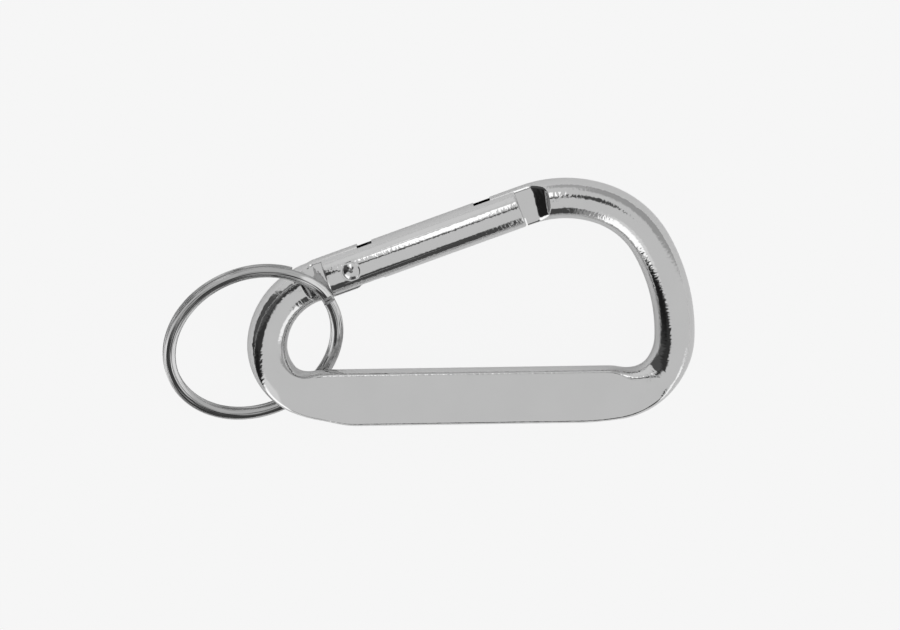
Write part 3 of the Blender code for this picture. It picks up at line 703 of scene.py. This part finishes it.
bpy.ops.mesh.normals_make_consistent(inside=False)
bpy.ops.object.mode_set(mode="OBJECT")
smooth(ring, 40)
ring.data.materials.append(metal("Nickel plated steel wire", (0.56, 0.56, 0.56), roughness=0.06,
                                 lines=0.10, ripple=0.0, across=2600))
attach(ring, "ring")
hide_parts("split_ring")

# ----------------------------------------------------------------------------------------------
# Gate spring and plunger: drawn spring wire and a turned steel pusher, inside the gate's bore.
# They are the CAD solids, with the finish of oiled steel.
for node, name, colour, roughness in (("gate_spring", "Drawn spring wire", (0.50, 0.50, 0.51), 0.28),
                                      ("spring_plunger", "Turned steel pusher", (0.58, 0.58, 0.59), 0.25)):
    solid = frame["nodes"][node]
    finish = metal(name, colour, roughness, lines=0.0004, ripple=0.002, attribute=None)
    if solid.material_slots:
        for entry in solid.material_slots:
            entry.material = finish
    else:
        solid.data.materials.append(finish)

# ----------------------------------------------------------------------------------------------
# Floor, light and camera. The floor is a pale sheet that the hook and ring lie on. The room's
# light is even, with a darker end on the left and dark strips below and above the hook.
PALE = (0.93, 0.93, 0.93)
FLOOR_SIZE = 6.0
FLOOR_GAP = 0.0002
# the part of the floor's brightness that is even, as the metal mirrors it and as the camera sees it
EVEN_IN_METAL = 0.15
EVEN_IN_VIEW = 0.97

start_fresh()
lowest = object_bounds()[0][2]
bpy.ops.mesh.primitive_plane_add(size=FLOOR_SIZE, location=(0, 0, lowest - FLOOR_GAP))
floor = named("floor")
sheet = bpy.data.materials.new("Pale floor")
sheet.use_nodes = True
tree = sheet.node_tree
tree.nodes.clear()
output = tree.nodes.new("ShaderNodeOutputMaterial")
matt = tree.nodes.new("ShaderNodeBsdfDiffuse")
matt.inputs["Color"].default_value = (*PALE, 1)
glow = tree.nodes.new("ShaderNodeEmission")
glow.inputs["Color"].default_value = (*PALE, 1)
seen = tree.nodes.new("ShaderNodeLightPath")
mirrored_too = tree.nodes.new("ShaderNodeMath")
mirrored_too.operation = "MAXIMUM"
tree.links.new(seen.outputs["Is Glossy Ray"], mirrored_too.inputs[0])
tree.links.new(seen.outputs["Is Transmission Ray"], mirrored_too.inputs[1])
amount = tree.nodes.new("ShaderNodeMath")
amount.operation = "MULTIPLY_ADD"
amount.inputs[1].default_value = EVEN_IN_METAL
tree.links.new(mirrored_too.outputs[0], amount.inputs[0])
camera_part = tree.nodes.new("ShaderNodeMath")
camera_part.operation = "MULTIPLY"
camera_part.inputs[1].default_value = EVEN_IN_VIEW
tree.links.new(seen.outputs["Is Camera Ray"], camera_part.inputs[0])
tree.links.new(camera_part.outputs[0], amount.inputs[2])
blend = tree.nodes.new("ShaderNodeMixShader")
tree.links.new(amount.outputs[0], blend.inputs["Fac"])
tree.links.new(matt.outputs[0], blend.inputs[1])
tree.links.new(glow.outputs[0], blend.inputs[2])
tree.links.new(blend.outputs[0], output.inputs["Surface"])
floor.data.materials.append(sheet)

TILT = math.radians(11)
ROLL = math.radians(0.85)
towards = Vector((0, math.sin(TILT), math.cos(TILT)))
upward = Vector((0, math.cos(TILT), -math.sin(TILT)))

world = bpy.data.worlds.new("studio")
bpy.context.scene.world = world
world.use_nodes = True
tree = world.node_tree
tree.nodes.clear()
output = tree.nodes.new("ShaderNodeOutputWorld")
direction = tree.nodes.new("ShaderNodeTexCoord").outputs["Generated"]


def along_axis(axis):
    """How far the light's direction goes along an axis, from -1 to 1."""
    product = tree.nodes.new("ShaderNodeVectorMath")
    product.operation = "DOT_PRODUCT"
    product.inputs[1].default_value = axis
    tree.links.new(direction, product.inputs[0])
    return product.outputs["Value"]


def maths(operation, *values):
    """Output of a Math node, fed with numbers or with other outputs."""
    node = tree.nodes.new("ShaderNodeMath")
    node.operation = operation
    for entry, value in zip(node.inputs, values):
        if isinstance(value, (int, float)):
            entry.default_value = value
        else:
            tree.links.new(value, entry)
    return node.outputs[0]


def fade(value, start, end):
    """From 0 at the start to 1 at the end, without a kink."""
    node = tree.nodes.new("ShaderNodeMapRange")
    node.interpolation_type = "SMOOTHSTEP"
    node.inputs["From Min"].default_value = start
    node.inputs["From Max"].default_value = end
    tree.links.new(value, node.inputs["Value"])
    return node.outputs["Result"]


side = along_axis((1, 0, 0))
ahead = along_axis(upward)
over = along_axis(towards)
azimuth = maths("ARCTAN2", ahead, side)
from_top = maths("ARCCOSINE", maths("MINIMUM", maths("MAXIMUM", over, -1.0), 1.0))


def laid_over(level, mask, brightness):
    """The light's level with another brightness laid over it where the mask is 1."""
    return maths("ADD", maths("MULTIPLY", maths("SUBTRACT", 1.0, mask), level),
                 maths("MULTIPLY", mask, brightness))


def patch(level, middle, half, start, end, soft, brightness):
    """Lays a patch over the light: round the object and down from the ceiling's middle, in degrees."""
    turned_from = maths("ABSOLUTE", maths("WRAP", maths("SUBTRACT", azimuth, math.radians(middle)),
                                          math.pi, -math.pi))
    mask = fade(turned_from, math.radians(half + soft), math.radians(half - soft))
    mask = maths("MULTIPLY", mask, fade(from_top, math.radians(start - soft), math.radians(start + soft)))
    mask = maths("MULTIPLY", mask, fade(from_top, math.radians(end + soft), math.radians(end - soft)))
    return laid_over(level, mask, brightness)


# what the polished metal mirrors: the room's dark left side, white sheets, dark gaps between them
# and the dark camera above, with a dark bar on its left. Lens and bar are placed in the directions'
# own shares to the right and ahead. A patch is its middle and half width round the object, its start
# and end down from the ceiling's middle and its soft edge, all in degrees, and its brightness.
ROOM_LEVEL = 0.68
PATCHES = ((42, 34, 46, 104, 6, 0.40), (85, 12, 60, 104, 5, 0.46), (115, 17, 45, 72, 4, 0.76),
           (109, 16, 11, 34, 2, 1.5), (170, 22, 33, 104, 4, 0.09), (168, 20, 17, 35, 2.5, 0.05),
           (143, 5, 35, 50, 3, 0.12), (-157, 16, 25, 92, 4, 0.04), (-151, 11, 55, 86, 5, 0.015),
           (-119.5, 17, 46, 64, 4, 0.85), (-119.5, 17, 62, 104, 4, 1.4), (-98, 5, 64, 104, 3, 0.36),
           (-78.5, 15, 63, 104, 3, 0.07), (-43, 18, 76, 104, 4, 1.2))
LENS_MIDDLE = (0.185, 0.13)
LENS_HALF = (0.12, 0.18)
LENS_EDGE = (1.2, 0.8)
LENS_LEVEL = 0.07
BAR_AHEAD = 0.05
BAR_EDGE = (0.07, 0.03)
BAR_LEFT = (-0.27, -0.2)
BAR_RIGHT = (0.1, 0.05)
BAR_LEVEL = 0.08

mirrored = ROOM_LEVEL
for row in PATCHES:
    mirrored = patch(mirrored, *row)
above = maths("GREATER_THAN", over, 0.0)
lens_x, lens_y = (maths("DIVIDE", maths("SUBTRACT", share, middle), half)
                  for share, middle, half in zip((side, ahead), LENS_MIDDLE, LENS_HALF))
lens_away = maths("SQRT", maths("ADD", maths("MULTIPLY", lens_x, lens_x), maths("MULTIPLY", lens_y, lens_y)))
lens_mask = maths("MULTIPLY", fade(lens_away, *LENS_EDGE), above)
mirrored = laid_over(mirrored, lens_mask, LENS_LEVEL)
from_bar = maths("ABSOLUTE", maths("SUBTRACT", ahead, BAR_AHEAD))
bar_span = maths("MULTIPLY", fade(side, *BAR_LEFT), fade(side, *BAR_RIGHT))
bar_mask = maths("MULTIPLY", maths("MULTIPLY", fade(from_bar, *BAR_EDGE), bar_span), above)
mirrored = laid_over(mirrored, bar_mask, BAR_LEVEL)

# what lights the floor: even light, with more from the right, which puts the shadows on the left
EVEN_LIGHT = 0.38
RIGHT_LIGHT = (-10, 50, 25, 80, 15, 1.7)

spread_light = patch(EVEN_LIGHT, *RIGHT_LIGHT)
seen = tree.nodes.new("ShaderNodeLightPath")
choice = laid_over(mirrored, seen.outputs["Is Diffuse Ray"], spread_light)
strips = tree.nodes.new("ShaderNodeBackground")
strips.inputs["Color"].default_value = (1, 1, 1, 1)
tree.links.new(choice, strips.inputs["Strength"])
plain = tree.nodes.new("ShaderNodeBackground")
plain.inputs["Color"].default_value = (*PALE, 1)
plain.inputs["Strength"].default_value = 1.0
blend = tree.nodes.new("ShaderNodeMixShader")
tree.links.new(seen.outputs["Is Camera Ray"], blend.inputs["Fac"])
tree.links.new(strips.outputs[0], blend.inputs[1])
tree.links.new(plain.outputs[0], blend.inputs[2])
tree.links.new(blend.outputs[0], output.inputs["Surface"])

AIM = (-3.67, 14.55, MID_PLANE)
CAMERA_DISTANCE = 0.4
SENSOR_WIDTH = 36.0
FOCAL_PIXELS = 2288
PICTURE_PIXELS = 900

aim = Vector(AIM) * MM
rightward = Vector((1, 0, 0)) * math.cos(ROLL) - upward * math.sin(ROLL)
image_up = Vector((1, 0, 0)) * math.sin(ROLL) + upward * math.cos(ROLL)
lens = bpy.data.cameras.new("camera")
lens.sensor_width = SENSOR_WIDTH
lens.lens = FOCAL_PIXELS / PICTURE_PIXELS * SENSOR_WIDTH
lens.clip_start = 0.01
camera = bpy.data.objects.new("camera", lens)
camera.matrix_world = Matrix.Translation(aim + towards * CAMERA_DISTANCE) @ Matrix(
    (rightward, image_up, towards)).transposed().to_4x4()
bpy.context.scene.collection.objects.link(camera)
bpy.context.scene.camera = camera
bpy.context.scene.view_settings.view_transform = "Standard"
